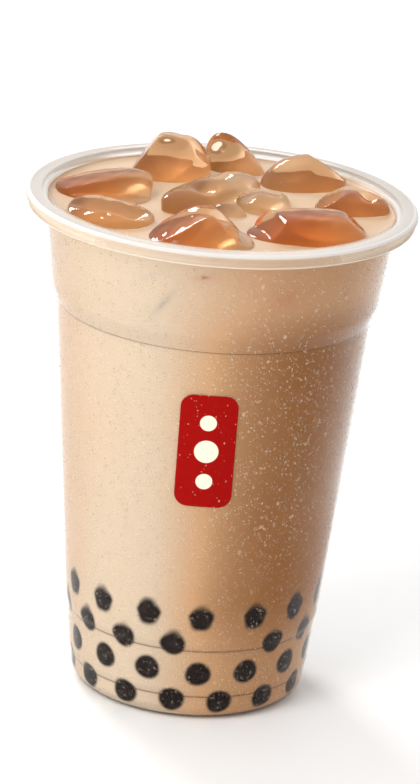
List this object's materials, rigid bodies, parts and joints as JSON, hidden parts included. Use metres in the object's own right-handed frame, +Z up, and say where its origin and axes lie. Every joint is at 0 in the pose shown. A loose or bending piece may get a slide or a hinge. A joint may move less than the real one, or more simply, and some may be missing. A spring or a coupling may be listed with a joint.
{
  "type": "bubble tea",
  "caption": "Iced milk tea with tapioca pearls in a tapered clear plastic cup with a rolled lip, ice standing out of the surface, no lid or straw.",
  "frame": {"origin": "centre of the foot ring, on the table", "axes": "+Z up the cup's axis, -Y to the front"},
  "size_m": [0.095, 0.095, 0.1328],
  "materials": {
    "cup": "clear drawn plastic, milky where it is thick at the lip, misted with droplets outside",
    "tea": "opaque milk tea with a wet surface",
    "pearl": "dark cooked tapioca, wet and smooth",
    "ice": "clear wet ice, tinted by the tea it stands in"
  },
  "bodies": {
    "root": {"cup": "cup", "tea": "tea", "pearls_1": "pearl", "pearls_2": "pearl", "pearls_3": "pearl", "pearls_4": "pearl", "ice_1": "ice", "ice_2": "ice", "ice_3": "ice", "ice_4": "ice", "ice_5": "ice", "ice_6": "ice", "ice_7": "ice", "ice_8": "ice", "ice_9": "ice", "ice_10": "ice", "ice_11": "ice"}
  },
  "joints": []
}
